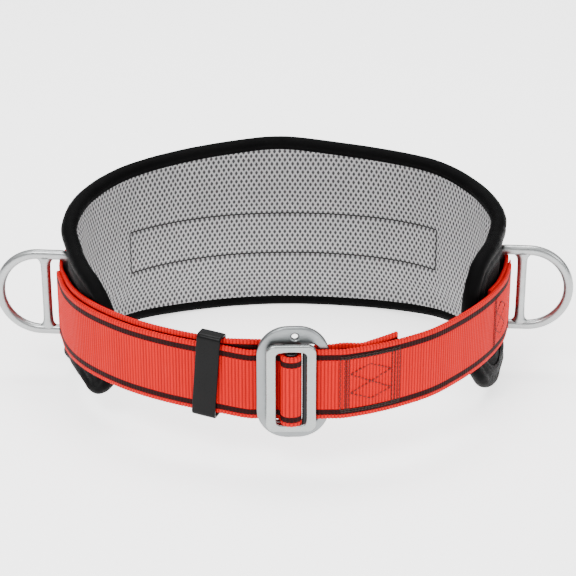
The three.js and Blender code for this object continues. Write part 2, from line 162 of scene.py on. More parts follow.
_rim = catmull_rom(RIM_POINTS, True, 60)
_rim = np.vstack([_rim, _rim[:1]])
RIM_AT = lengths_along(_rim)
RIM_LENGTH = RIM_AT[-1]
RIM_TANGENT = unit(np.gradient(np.vstack([_rim[-2:-1], _rim, _rim[1:2]]), axis=0)[1:-1])


def rim_frame(s):
    """Point, tangent and outward direction at distance s along the rim, all in plan."""
    u = np.mod(s, RIM_LENGTH)
    point = np.stack([np.interp(u, RIM_AT, _rim[:, k]) for k in (0, 1)], -1)
    tangent = unit(np.stack([np.interp(u, RIM_AT, RIM_TANGENT[:, k]) for k in (0, 1)], -1))
    outward = np.stack([tangent[..., 1], -tangent[..., 0]], -1)
    return point, tangent, outward


def rim(s, inset=0.0, z=0.0):
    """The point at distance s along the rim, moved inwards by inset and up by z."""
    s, inset, z = np.broadcast_arrays(np.asarray(s, float), inset, z)
    point, _, outward = rim_frame(s)
    flat = point - outward * inset[..., None]
    return np.concatenate([flat, z[..., None]], -1)


def rim_where(axis, value, start, end):
    """The distance between start and end at which the rim passes a coordinate."""
    s = np.linspace(start, end, 4001)
    v = rim_frame(s)[0][:, axis] - value
    i = int(np.nonzero(np.sign(v[1:]) != np.sign(v[:-1]))[0][0])
    return s[i] - v[i] * (s[i + 1] - s[i]) / (v[i + 1] - v[i])


RING_S = {"left": rim_where(1, RING["y"], 120, 300), "right": rim_where(1, RING["y"], -120, -300)}


def past_ring(s):
    """How far s lies past the side ring, towards the front."""
    return np.abs(s) - np.where(np.asarray(s) > 0, RING_S["left"], -RING_S["right"])


def web_inset(s):
    """From the rim to the middle of the body webbing."""
    return 1.2 + WEB["layer"] * smooth(past_ring(s) / 26)


def pad_inset(s, z, depth, dented=True):
    """From the rim to a depth inside the pad, with or without the dents the side rings lie in."""
    near = 1 - smooth((np.abs(past_ring(s)) - 7) / 24)
    level = 1 - smooth((np.abs(z) - RING["height"] / 2 - RING["bar"] / 2 - 1) / 10)
    dent = (RING["bar"] + 2 * GAP) * near * level * dented
    squash = 0.6 * dent * np.clip((depth - 2.8) / 5, 0, 1)
    flare = PAD["flare"] * smooth((-z - 25) / 16)
    return web_inset(s) + 1.5 + dent - squash - flare + depth


def outline_points(inward, per_span):
    """The pad's outline as (s, z) points, moved in by a distance."""
    p = catmull_rom(PAD_OUTLINE, True, per_span)
    t = unit(np.roll(p, -1, axis=0) - np.roll(p, 1, axis=0))
    return p + inward * np.stack([t[:, 1], -t[:, 0]], 1)


def spans(outline, s):
    """The lowest and highest point of an outline at each distance s."""
    nxt = np.roll(outline, -1, axis=0)
    low, high = [], []
    for at in s:
        cross = (outline[:, 0] > at) != (nxt[:, 0] > at)
        a, b = outline[cross], nxt[cross]
        z = a[:, 1] + (b[:, 1] - a[:, 1]) * (at - a[:, 0]) / (b[:, 0] - a[:, 0])
        low.append(z.min())
        high.append(z.max())
    return np.array(low), np.array(high)


# ---- camera, light and floor ---------------------------------------------------------------------

CAMERA = {"azimuth": -2.0, "elevation": 24.0, "distance": 1200.0, "view_width": 372.096}
CAMERA_SHIFT = (1 / 288, 7 / 288)  # in picture widths


def add_camera():
    a, e = math.radians(CAMERA["azimuth"]), math.radians(CAMERA["elevation"])
    back = Vector((math.sin(a) * math.cos(e), -math.cos(a) * math.cos(e), math.sin(e)))
    data = bpy.data.cameras.new("camera")
    data.sensor_width = 36.0
    data.lens = data.sensor_width * CAMERA["distance"] / CAMERA["view_width"]
    data.shift_x, data.shift_y = CAMERA_SHIFT
    data.clip_end = 50
    camera = bpy.data.objects.new("camera", data)
    camera.location = Vector(ORIGIN) + back * CAMERA["distance"] / 1000
    camera.rotation_euler = (-back).to_track_quat("-Z", "Y").to_euler()
    bpy.context.scene.collection.objects.link(camera)
    bpy.context.scene.camera = camera


def add_light(name, location, size, power):
    data = bpy.data.lights.new(name, "AREA")
    data.shape = "RECTANGLE"
    data.size, data.size_y = size
    data.energy = power
    light = bpy.data.objects.new(name, data)
    light.location = location
    light.rotation_euler = (Vector((0, 0, 0.05)) - Vector(location)).to_track_quat("-Z", "Y").to_euler()
    bpy.context.scene.collection.objects.link(light)


def add_studio():
    world = bpy.data.worlds.new("studio")
    bpy.context.scene.world = world
    world.use_nodes = True
    tree = world.node_tree
    sky = tree.nodes["Background"]
    coords = tree.nodes.new("ShaderNodeTexCoord")
    split = tree.nodes.new("ShaderNodeSeparateXYZ")
    ramp = tree.nodes.new("ShaderNodeValToRGB")
    tree.links.new(coords.outputs["Generated"], split.inputs[0])
    tree.links.new(split.outputs["Z"], ramp.inputs[0])
    tree.links.new(ramp.outputs[0], sky.inputs["Color"])
    ramp.color_ramp.elements[0].position = 0.2
    ramp.color_ramp.elements[0].color = (0.22, 0.22, 0.225, 1)
    ramp.color_ramp.elements[1].position = 0.62
    ramp.color_ramp.elements[1].color = (1, 1, 1, 1)
    sky.inputs["Strength"].default_value = 1.5
    add_light("key", (-0.7, -1.2, 1.6), (0.8, 0.6), 32)
    add_light("fill", (1.4, -1.1, 1.0), (0.7, 0.7), 14)
    add_light("top", (0.0, 0.45, 1.7), (1.2, 0.7), 26)

    mesh = bpy.data.meshes.new("floor")
    r = 25.0
    mesh.from_pydata([(-r, -r, 0), (r, -r, 0), (r, r, 0), (-r, r, 0)], [], [(0, 1, 2, 3)])
    floor = bpy.data.objects.new("floor", mesh)
    floor.location.z = -0.0002
    bpy.context.scene.collection.objects.link(floor)
    floor.data.materials.append(floor_material())


# ---- materials -----------------------------------------------------------------------------------


class Shade:
    """A node material under construction: short calls for the nodes it needs."""

    def __init__(self, name, **settings):
        self.material = bpy.data.materials.new(name)
        self.material.use_nodes = True
        self.tree = self.material.node_tree
        self.bsdf = self.tree.nodes["Principled BSDF"]
        for socket, value in settings.items():
            self.bsdf.inputs[socket.replace("_", " ")].default_value = value

    def node(self, kind, *inputs, **props):
        n = self.tree.nodes.new(kind)
        for key, value in props.items():
            setattr(n, key, value)
        for i, value in enumerate(inputs):
            self.feed(n.inputs[i], value)
        return n

    def feed(self, socket, value):
        if value is None:
            return
        if isinstance(value, bpy.types.NodeSocket):
            self.tree.links.new(value, socket)
        else:
            socket.default_value = value

    def math(self, operation, a, b=None, c=None, clamp=False):
        return self.node("ShaderNodeMath", a, b, c, operation=operation, use_clamp=clamp).outputs[0]

    def uv(self):
        """The cloth coordinates, in millimetres: along the cloth and across it."""
        split = self.node("ShaderNodeSeparateXYZ", self.node("ShaderNodeUVMap", uv_map="cloth").outputs[0])
        return split.outputs[0], split.outputs[1]

    def position(self, scale=(1, 1, 1)):
        """The object's coordinates in millimetres, times scale."""
        coords = self.node("ShaderNodeTexCoord").outputs["Object"]
        factor = tuple(1000 * k for k in scale)
        return self.node("ShaderNodeVectorMath", coords, factor, operation="MULTIPLY").outputs[0]

    def noise(self, vector, scale, detail=3.0, roughness=0.55):
        n = self.node("ShaderNodeTexNoise")
        self.feed(n.inputs["Vector"], vector)
        n.inputs["Scale"].default_value = scale
        n.inputs["Detail"].default_value = detail
        n.inputs["Roughness"].default_value = roughness
        return n.outputs["Fac"]

    def span(self, value, low, high, to_low=0.0, to_high=1.0):
        return self.node("ShaderNodeMapRange", value, low, high, to_low, to_high).outputs[0]

    def mix(self, factor, a, b):
        n = self.node("ShaderNodeMix", data_type="RGBA")
        self.feed(n.inputs["Factor"], factor)
        for socket, value in ((n.inputs[6], a), (n.inputs[7], b)):
            self.feed(socket, (*value, 1) if isinstance(value, tuple) else value)
        return n.outputs[2]

    def color(self, value):
        self.feed(self.bsdf.inputs["Base Color"], value)

    def rough(self, value):
        self.feed(self.bsdf.inputs["Roughness"], value)

    def bump(self, height, distance, strength=1.0):
        """Relief in the surface, its distance in millimetres. A second call adds to the first."""
        n = self.node("ShaderNodeBump")
        n.inputs["Strength"].default_value = strength
        n.inputs["Distance"].default_value = distance / 1000
        self.feed(n.inputs["Height"], height)
        before = self.bsdf.inputs["Normal"]
        if before.is_linked:
            self.feed(n.inputs["Normal"], before.links[0].from_socket)
        self.feed(before, n.outputs[0])


def floor_material():
    m = Shade("floor", Base_Color=(0.93, 0.93, 0.93, 1), Specular_IOR_Level=0.1)
    m.bsdf.inputs["Emission Color"].default_value = (1, 1, 1, 1)
    m.bsdf.inputs["Emission Strength"].default_value = 1.7
    m.rough(m.span(m.noise(m.position(), 0.02), 0, 1, 0.7, 0.8))
    return m.material


def webbing_material():
    """Red ribbed webbing, its ribs across it, with a black tracer line near each edge."""
    m = Shade("red_webbing", Roughness=0.62, Specular_IOR_Level=0.07)
    u, v = m.uv()
    count = m.math("DIVIDE", u, WEB["rib"])
    index = m.math("FLOOR", count)
    crest = m.math("ABSOLUTE", m.math("SINE", m.math("MULTIPLY", count, math.pi)))
    shade = m.node("ShaderNodeTexWhiteNoise", noise_dimensions="1D")
    m.feed(shade.inputs["W"], index)
    picks = m.math("ADD", m.math("MULTIPLY", v, 2 * math.pi / 1.15), m.math("MULTIPLY", index, math.pi))
    pick = m.span(m.math("SINE", picks), -1, 1)
    fuzz = m.noise(m.position(), 1.4, 4)
    worn = m.noise(m.position(), 0.035, 3)
    height = m.math("POWER", crest, 0.7)
    # The rib valleys are painted darker red than the crests: painted shade in the valleys between the ribs.
    red = m.mix(height, (0.13, 0.0002, 0.0003), (0.56, 0.0009, 0.0012))
    red = m.mix(m.span(pick, 0, 1, 0.0, 0.16), red, (0.21, 0.0006, 0.0006))
    red = m.mix(m.span(shade.outputs["Value"], 0, 1, 0.0, 0.14), red, (0.72, 0.004, 0.004))
    red = m.mix(m.span(worn, 0.35, 0.75, 0.0, 0.12), red, (0.26, 0.001, 0.001))
    line = m.math("ABSOLUTE", m.math("SUBTRACT", m.math("ABSOLUTE", v), WEB["tracer"]))
    wobble = m.math("MULTIPLY", m.math("SUBTRACT", height, 0.6), 0.35)
    edge = WEB["tracer_height"] / 2
    line = m.span(m.math("SUBTRACT", line, wobble), edge - 0.2, edge + 0.1)
    black = m.mix(m.math("MULTIPLY", height, pick), (0.022, 0.0010, 0.0010), (0.0012, 0.0008, 0.0008))
    m.color(m.mix(line, black, red))
    m.rough(m.span(fuzz, 0.3, 0.8, 0.52, 0.74))
    m.bump(pick, 0.12, 0.7)
    m.bump(fuzz, 0.10, 0.5)
    return m.material


def strand_at(m, value):
    """1 along the lines where value is a whole number, falling to 0 beside them."""
    return m.span(m.math("ABSOLUTE", m.math("COSINE", m.math("MULTIPLY", value, math.pi))), 0.62, 0.95)


def seam_distance(m, u, v):
    """How far a point lies from the stitched rectangle's outline."""
    middle, half = (SEAM["left"] + SEAM["right"]) / 2, (SEAM["left"] - SEAM["right"]) / 2
    x = m.math("SUBTRACT", m.math("ABSOLUTE", m.math("SUBTRACT", u, middle)), half)
    y = m.math("SUBTRACT", m.math("ABSOLUTE", m.math("SUBTRACT", v, SEAM["z"])), SEAM["half"])
    return m.math("ABSOLUTE", m.math("MAXIMUM", x, y))


def liner_material():
    """Grey spacer mesh: yarns round staggered oval holes, the holes painted dark as the shade inside them."""
    m = Shade("spacer_mesh", Roughness=0.85, Specular_IOR_Level=0.25)
    u, v = m.uv()
    drift = m.noise(m.position(), 0.12, 2)
    row = m.math("DIVIDE", v, MESH_ROW)
    row = m.math("ADD", row, m.span(drift, 0, 1, -0.12, 0.12))
    shift = m.math("MULTIPLY", m.math("FLOORED_MODULO", m.math("FLOOR", row), 2.0), 0.5)
    column = m.math("ADD", m.math("DIVIDE", u, MESH_PITCH), shift)
    x = m.math("MULTIPLY", m.math("SUBTRACT", m.math("FRACT", column), 0.5), MESH_PITCH)
    y = m.math("MULTIPLY", m.math("SUBTRACT", m.math("FRACT", row), 0.5), MESH_ROW)
    wide = m.math("POWER", m.math("ABSOLUTE", m.math("DIVIDE", x, 1.12)), 1.5)
    tall = m.math("POWER", m.math("ABSOLUTE", m.math("DIVIDE", y, 1.62)), 1.5)
    away = m.math("ADD", wide, tall)
    yarn = m.span(away, 0.45, 1.25)
    slant = m.math("MULTIPLY", m.math("SUBTRACT", row, 0.5), 0.5)
    along = m.math("DIVIDE", u, MESH_PITCH)
    rising = strand_at(m, m.math("ADD", along, slant))
    falling = strand_at(m, m.math("SUBTRACT", along, slant))
    lattice = m.math("MAXIMUM", rising, falling)
    strand = m.noise(m.position((1, 1, 0.4)), 2.2, 3)
    tone = m.noise(m.position(), 0.05, 2)
    light = m.mix(m.span(strand, 0.3, 0.7), (0.115, 0.115, 0.117), (0.17, 0.17, 0.173))
    # The diagonal strands between the holes are painted lighter: painted highlight on the raised yarns.
    light = m.mix(lattice, light, (0.34, 0.34, 0.344))
    light = m.mix(m.span(tone, 0.3, 0.8, 0.0, 0.25), light, (0.175, 0.175, 0.178))
    # The holes are painted dark: painted shade inside the holes.
    mesh = m.mix(yarn, (0.04, 0.04, 0.042), light)
    # Along the stitched rectangle's lines the mesh is painted near black: painted shade in the seam groove.
    m.color(m.mix(m.span(seam_distance(m, u, v), 0.5, 0.95), (0.012, 0.012, 0.012), mesh))
    m.bump(yarn, 0.55, 0.8)
    m.bump(lattice, 0.25, 0.6)
    m.bump(strand, 0.15, 0.5)
    return m.material


def cloth_material(name, base, weave, roughness, bump):
    """Close plain-weave cloth."""
    m = Shade(name, Roughness=roughness, IOR=1.11, Specular_IOR_Level=0.2)
    u, v = m.uv()
    a = m.math("SINE", m.math("MULTIPLY", u, 2 * math.pi / weave))
    b = m.math("SINE", m.math("MULTIPLY", v, 2 * math.pi / weave))
    cross = m.span(m.math("MULTIPLY", a, b), -1, 1)
    blotch = m.noise(m.position(), 0.04, 3)
    fuzz = m.noise(m.position(), 1.1, 4)
    light = tuple(2.1 * k for k in base)
    tone = m.mix(m.span(blotch, 0.3, 0.75, 0, 0.5), base, light)
    m.color(m.mix(m.span(cross, 0, 1, 0.0, 0.35), tone, tuple(0.45 * k for k in base)))
    m.rough(m.span(fuzz, 0.3, 0.8, roughness - 0.08, roughness + 0.1))
    m.bump(cross, bump)
    m.bump(fuzz, 0.08, 0.4)
    return m.material


def metal_material(name, base, roughness, grain, wear=0.3):
    """Plated steel: tumbled, with faint scuffs and a duller bloom here and there."""
    m = Shade(name, Metallic=1.0, Roughness=roughness)
    place_mm = m.position()
    bloom = m.noise(place_mm, 0.09, 4)
    fine = m.noise(place_mm, 2.6, 5, 0.7)
    scuff = m.noise(m.position((0.25, 0.25, 2.2)), 0.9, 4, 0.7)
    dull = tuple(0.72 * k for k in base)
    m.color(m.mix(m.span(bloom, 0.35, 0.75, 0, wear), base, dull))
    scuffed = m.span(scuff, 0.3, 0.75, roughness - 0.06, roughness + 0.12)
    m.rough(m.math("ADD", scuffed, m.span(bloom, 0.3, 0.8, 0, 0.06)))
    m.bump(fine, grain)
    m.bump(scuff, 0.03, 0.5)
    return m.material


def plastic_material():
    m = Shade("black_moulding", Roughness=0.28, Specular_IOR_Level=0.08)
    grain = m.noise(m.position(), 1.6, 3)
    blotch = m.noise(m.position(), 0.08, 3)
    m.color(m.mix(blotch, (0.0030, 0.0030, 0.0031), (0.0045, 0.0045, 0.0047)))
    m.rough(m.span(grain, 0.3, 0.7, 0.26, 0.34))
    m.bump(grain, 0.01, 0.5)
    return m.material


def thread_material(name, base):
    m = Shade(name, Roughness=0.6, Specular_IOR_Level=0.2)
    twist = m.noise(m.position((1, 1, 3)), 2.5, 3)
    m.color(m.mix(twist, tuple(0.6 * k for k in base), base))
    m.bump(twist, 0.1, 0.6)
    return m.material


# ---- meshes --------------------------------------------------------------------------------------


def set_cloth_uv(mesh, uv):
    """Gives a mesh the cloth coordinates in uv, one pair for each vertex."""
    layer = mesh.uv_layers.new(name="cloth")
    corner = np.zeros(len(mesh.loops), np.int32)
    mesh.loops.foreach_get("vertex_index", corner)
    layer.data.foreach_set("uv", np.asarray(uv, np.float32)[corner].ravel())


def add_piece(name, points, faces, material, body, uv=None):
    """A new piece from belt-frame points. uv holds each point's cloth coordinates."""
    mesh = bpy.data.meshes.new(name)
    mesh.from_pydata(place(points).tolist(), [], faces)
    if uv is not None:
        set_cloth_uv(mesh, uv)
    mesh.polygons.foreach_set("use_smooth", [True] * len(mesh.polygons))
    mesh.materials.append(material)
    piece = bpy.data.objects.new(name, mesh)
    bpy.context.scene.collection.objects.link(piece)
    if body:
        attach(piece, body)
    return piece


def grid_faces(rows, columns, close_rows=False, close_columns=False, base=0):
    """Four-sided faces over rows of points."""
    faces = []
    for i in range(rows if close_rows else rows - 1):
        for j in range(columns if close_columns else columns - 1):
            a, b = i * columns, ((i + 1) % rows) * columns
            k = (j + 1) % columns
            faces.append((base + a + j, base + b + j, base + b + k, base + a + k))
    return faces


def loft(rings, closed):
    """Points and faces of closed rings joined in a row, capped at both ends unless it closes."""
    rows, columns = rings.shape[:2]
    faces = grid_faces(rows, columns, close_rows=closed, close_columns=True)
    if not closed:
        faces.append(tuple(range(columns)))
        faces.append(tuple(range((rows - 1) * columns, rows * columns))[::-1])
    return rings.reshape(-1, 3), faces


def joined(*lofts):
    """The points and faces of several lofts in one mesh."""
    faces, base = [], 0
    for points, own in lofts:
        faces += [tuple(base + i for i in face) for face in own]
        base += len(points)
    return np.vstack([points for points, _ in lofts]), faces


def belt_points(mesh):
    """A mesh's vertices as belt frame millimetres."""
    return (np.array([v.co for v in mesh.vertices]) - ORIGIN) * 1000


def ray_tree(piece):
    """A piece as its modifiers leave it, ready for casting rays."""
    bpy.context.view_layer.update()
    return BVHTree.FromObject(piece, bpy.context.evaluated_depsgraph_get())


def round_off(piece):
    smoothing = piece.modifiers.new("smooth", "SUBSURF")
    smoothing.levels = 1
    smoothing.render_levels = 1


# ---- webbing -------------------------------------------------------------------------------------


def web_profile():
    """Round the webbing's section: thickness, height, and which way its ribs swell it."""
    half, edge = WEB["thick"] / 2, WEB["width"] / 2
    levels = [-21.7, -20.2, -18.8, -15.8, -8, 0, 8, 15.8, 18.8, 20.2, 21.7]
    section = [(half, z, 1, 0) for z in levels]
    section += [(0.72 * half, edge - 0.25, 0.7, 0.7), (0, edge, 0, 1), (-0.72 * half, edge - 0.25, -0.7, 0.7)]
    section += [(-half, z, -1, 0) for z in reversed(levels)]
    section += [(-0.72 * half, 0.25 - edge, -0.7, -0.7), (0, -edge, 0, -1)]
    section += [(0.72 * half, 0.25 - edge, 0.7, -0.7)]
    return np.array(section, float)


def web_frames(path, step):
    """Points along a webbing's middle with the outward direction at each."""
    points, u = resample(catmull_rom(path, False, 24), step)
    t = np.gradient(points, axis=0)
    t[:, 2] = 0
    t = unit(t)
    return points, np.stack([t[:, 1], -t[:, 0], np.zeros(len(t))], 1), u


def webbing(name, path, material, body="belt", rib_height=0.34, pressed=0.0):
    """Ribbed webbing on edge along a path, with its ribs and its scalloped edges in the mesh. Over its
    last few millimetres it can be pressed thinner, towards its inner face."""
    step = WEB["rib"] / 6
    points, normal, u = web_frames(path, step)
    section = web_profile()
    crest = np.abs(np.sin(math.pi * u / WEB["rib"])) ** 0.75
    slow = 0.5 + 0.25 * np.sin(u * 0.31) + 0.25 * np.sin(u * 0.173 + 1.7)
    swell = rib_height * (crest - 0.55) * (0.85 + 0.3 * slow)
    a = section[None, :, 0] + swell[:, None] * section[None, :, 2]
    thin = pressed * smooth((u - u[-1] + 9) / 9)[:, None]
    a = a * (1 - thin) - thin * WEB["thick"] / 2
    b = section[None, :, 1] + 1.3 * swell[:, None] * section[None, :, 3]
    rings = points[:, None] + normal[:, None] * a[..., None] + np.array([0, 0, 1]) * b[..., None]
    verts, faces = loft(rings, False)
    uv = np.stack(np.broadcast_arrays(u[:, None], section[None, :, 1]), -1).reshape(-1, 2)
    return add_piece(name, verts, faces, material, body, uv)


LEG = BAR["width"] / 2 + GAP + 1.2


def along_rim(start, finish, count, inset, lift):
    s = np.linspace(start, finish, count)
    return rim(s, inset(s), lift(s))


def body_path():
    """From under the right strap round the back and the left side, round the adjuster bar, and back
    along the left side as the free end."""
    x, y = HOOK["x"], BAR["y"]
    turn = rim_where(0, -44, 300, 420)
    left = RING_S["left"]
    main = along_rim(
        RING_S["right"] - 62, turn, 41, web_inset, lambda s: MAIN_LIFT * smooth((s - left - 12) / 40)
    )
    tail = along_rim(
        turn, left + 15, 19, lambda s: web_inset(s) - WEB["layer"],
        lambda s: TAIL_DROP * smooth((s - left - 5) / 30),
    )
    lead = [(-25, -107.6, 2), (-9, -105.9, 0.5), (-1.2, -107, -0.4), (x + LEG - 0.5, -111.2, -1)]
    lead += [(x + LEG, -115, -1), (x + LEG, -119, -1)]
    depth = BAR["depth"] / 2 + GAP + 1.2
    bight = [
        (x + LEG * math.cos(a), y - depth * math.sin(a), -1) for a in np.linspace(0, math.pi, 9)
    ]
    away = [(x - LEG, -119, -1), (x - LEG - 1.4, -116.4, -1.6), (x - LEG - 3.8, -113.4, -2.3)]
    away += [(x - LEG - 8, -111.4, -3.0), (-25, -110.9, -3.6)]
    return np.vstack([main, lead, bight, away, tail])


def level(s):
    return np.zeros_like(s)


def strap_joins():
    return rim_where(0, 42, -300, -425)


def strap_path():
    """The sewn strap: folded end, loop round the buckle plate's bar, then out to the right ring."""
    x, y, r = PLATE_WINDOW["right"] + 0.6, PLATE["front"] + PLATE["thick"] / 2, 3.6
    joins = strap_joins()
    under = along_rim(rim_where(0, 64, -300, -420), joins, 5, web_inset, level)
    under[:, 2] = np.linspace(3.8, 1.2, len(under))
    loop = [(30, y + r + 0.6, 0.6), (22, y + r, 0)]
    loop += [
        (x + r * math.cos(a), y + r * math.sin(a), 0)
        for a in np.linspace(math.pi / 2, 3 * math.pi / 2, 9)
    ]
    loop += [(22, y - r, 0), (29, y - r + 0.1, 0)]
    over = along_rim(joins, RING_S["right"] - 8, 27, lambda s: web_inset(s) - WEB["layer"], level)
    return np.vstack([under, loop, over])


# ---- stitches ------------------------------------------------------------------------------------


class Stitches:
    """Rows of short thread stitches gathered into one mesh."""

    # Along a stitch: how far on, how high it stands and how wide it is, in thread thicknesses.
    BOW = ((0, -0.5, 0.5), (0.15, 0.05, 0.9), (0.5, 0.35, 1.0), (0.85, 0.05, 0.9), (1, -0.5, 0.5))

    def __init__(self, thick=0.42):
        self.thick = thick
        self.points = []
        self.faces = []

    def add(self, a, b, normal):
        """One stitch from a to b, bowed out along normal and sunk in at both ends."""
        a, b, n = (np.asarray(q, float) for q in (a, b, normal))
        along = unit(b - a)
        side = unit(np.cross(along, n))
        rings = []
        for t, lift, width in self.BOW:
            centre = a + (b - a) * t + n * lift * self.thick
            r = self.thick / 2 * width
            around = np.arange(6) * math.pi / 3
            rings.append([centre + r * (side * math.cos(q) + n * math.sin(q)) for q in around])
        points, faces = loft(np.array(rings), False)
        base = sum(len(p) for p in self.points)
        self.points.append(points)
        self.faces += [tuple(base + i for i in f) for f in faces]

    def row(self, surface, start, end, length=2.6, gap=0.5, sway=0.0):
        """Stitches from start to end, both in the surface's own two coordinates."""
        start, end = np.asarray(start, float), np.asarray(end, float)
        total = np.linalg.norm(end - start)
        count = max(1, int(round(total / (length + gap))))
        across = np.array([end[1] - start[1], start[0] - end[0]]) / max(total, 1e-6)
        for i in range(count):
            wiggle = sway * math.sin(2.1 * i + start[0]) * across
            p = start + (end - start) * (i + 0.08) / count + wiggle
            q = start + (end - start) * (i + 0.9) / count + wiggle
            (a, n), (b, _) = surface(*p), surface(*q)
            self.add(a, b, n)

    def build(self, name, material, slot, body="belt"):
        return add_piece(name, np.vstack(self.points), self.faces, material, body)


def outer_surface(piece):
    """A function giving the point and outward direction of a piece's outer face at (s, z)."""
    tree = ray_tree(piece)

    def surface(s, z):
        outward = np.append(rim_frame(s)[2], 0)
        hit = tree.ray_cast(Vector(place(rim(s, -20, z))), Vector(-outward), 0.04)
        return (np.array(hit[0]) - ORIGIN) * 1000 + 0.05 * outward, outward

    return surface


def zigzag(sewn, surface, start, end, swing, pitch=1.5):
    """A bar of stitches slanting to and fro between two points on a surface."""
    count = int(round(np.hypot(end[0] - start[0], end[1] - start[1]) / pitch))
    line = [np.array(start) + (np.array(end) - start) * i / count for i in range(count + 1)]
    across = np.array([end[1] - start[1], start[0] - end[0]]) / np.hypot(end[0] - start[0], end[1] - start[1])
    for i in range(count):
        p = line[i] + across * (swing if i % 2 else -swing)
        q = line[i + 1] + across * (-swing if i % 2 else swing)
        (a, n), (b, _) = surface(*p), surface(*q)
        sewn.add(a, b, n)


def crosses(sewn, surface, near, far, reach):
    """Two crosses one above the other: their lines share the middle and spread at top and bottom."""
    middle = (near + far) / 2
    nodes = {
        "c": (middle, 0), "t": (middle - 1, reach), "b": (middle, -reach),
        "l1": (near, 0.55 * reach), "l2": (near, -0.52 * reach),
        "r1": (far, 0.48 * reach), "r2": (far, -0.6 * reach),
    }
    for a, b in (pair.split() for pair in ("l1 t", "t r1", "l1 c", "c r2", "l2 c", "c r1", "l2 b", "b r2")):
        sewn.row(surface, nodes[a], nodes[b], 2.2, 0.45, 0.12)


def sew_strap(strap, material):
    """The box of stitches beside the buckle and the one beside the right ring."""
    surface = outer_surface(strap)
    sewn = Stitches(0.6)
    top = WEB["tracer"] - 1.2
    near, far = STRAP_BOX["near"], STRAP_BOX["far"]
    for s in (near, near + 2.7, near + 4.0, near + 5.2, far - 5.4, far - 3.4, far - 1.6, far):
        zigzag(sewn, surface, (s, -top), (s, top), 0.42)
    for z in (-17.8, -16.7, 16.7, 17.8):
        zigzag(sewn, surface, (near, z), (far, z), 0.3, 2.2)
    crosses(sewn, surface, near + 6, far - 6, 11.4)
    near = STRAP_BOX["ring"]
    for s in (near, near + 2.4):
        zigzag(sewn, surface, (s, -top), (s, top), 0.28)
    crosses(sewn, surface, near + 3.4, near + 21, 11.4)
    return sewn.build("strap_stitches", material, "webbing")


# ---- pad -----------------------------------------------------------------------------------------


def pad_point(s, z, depth, dented=True):
    return rim(s, pad_inset(s, z, depth, dented), z)


def refined(values, lines):
    """Values in order, with closer ones in place of those beside each line."""
    for line in lines:
        values = {v for v in values if abs(v - line) >= 2.6} | set(line + SEAM_STEPS)
    return np.array(sorted(values))


def pad_levels(low, high, step):
    """Heights that are the same all along the pad, pulled inside its outline."""
    levels = refined(np.arange(-60, 68, step), (SEAM["z"] - SEAM["half"], SEAM["z"] + SEAM["half"]))
    return np.clip(levels[None, :], low[:, None], high[:, None])


def end_stations(low, high, step, extra=()):
    """Distances along the pad, closer together towards its rounded ends and round extra lines."""
    middle = np.arange(low + 30, high - 30, step)
    ends = np.sin(np.linspace(0, math.pi / 2, 22)) * 30
    return refined(set(middle) | set(high - 30 + ends * 0.998) | set(low + 30 - ends * 0.998), extra)


def cushion_solid():
    """The pad's filling before it is puffed: a closed body a little thinner than the pad."""
    outline = outline_points(4.0, 12)
    s = end_stations(outline[:, 0].min(), outline[:, 0].max(), 6)[1:-1]
    low, high = spans(outline, s)
    t = np.linspace(0, 1, 20)
    z = low[:, None] + (high - low)[:, None] * t
    outer = pad_point(s[:, None], z, 0.9, False)
    inner = pad_point(s[:, None], z, PAD["thick"] - 2.6, False)
    return loft(np.concatenate([outer, inner[:, ::-1]], 1), False)


def to_pad(points):
    """Distance along the rim, height and depth in the undented pad of belt-frame points."""
    s = np.linspace(-330, 330, 2641)
    line, _, outward = rim_frame(s)
    nearest = np.empty(len(points), int)
    for i in range(0, len(points), 2000):
        block = points[i : i + 2000, None, :2] - line[None]
        nearest[i : i + 2000] = (block**2).sum(-1).argmin(1)
    inset = -((points[:, :2] - line[nearest]) * outward[nearest]).sum(1)
    z = points[:, 2]
    return s[nearest], z, inset - pad_inset(s[nearest], z, 0, False)


def puff(piece, pressure=4.0, cap=1.6):
    """Swells a closed mesh with a cloth simulation and keeps every point within cap of its start."""
    scene = bpy.context.scene
    cloth = piece.modifiers.new("cloth", "CLOTH")
    cloth.settings.quality = 4
    cloth.settings.mass = 0.3
    cloth.settings.use_pressure = True
    cloth.settings.uniform_pressure_force = pressure
    cloth.settings.tension_stiffness = 25
    cloth.settings.compression_stiffness = 25
    cloth.settings.bending_stiffness = 1.5
    cloth.settings.effector_weights.gravity = 0
    cloth.settings.vertex_group_mass = "sewn"
    cloth.collision_settings.use_collision = False
    cloth.point_cache.frame_start = 1
    cloth.point_cache.frame_end = 20
    for f in range(1, 21):
        scene.frame_set(f)
    solved = piece.evaluated_get(bpy.context.evaluated_depsgraph_get())
    moved = np.array([v.co for v in solved.data.vertices])
    start = np.array([v.co for v in piece.data.vertices])
    piece.modifiers.remove(cloth)
    scene.frame_set(1)
    step = moved - start
    far = np.linalg.norm(step, axis=1, keepdims=True)
    step *= np.minimum(1, cap / 1000 / np.maximum(far, 1e-9))
    piece.data.vertices.foreach_set("co", (start + step).astype(np.float32).ravel())
    piece.data.update()


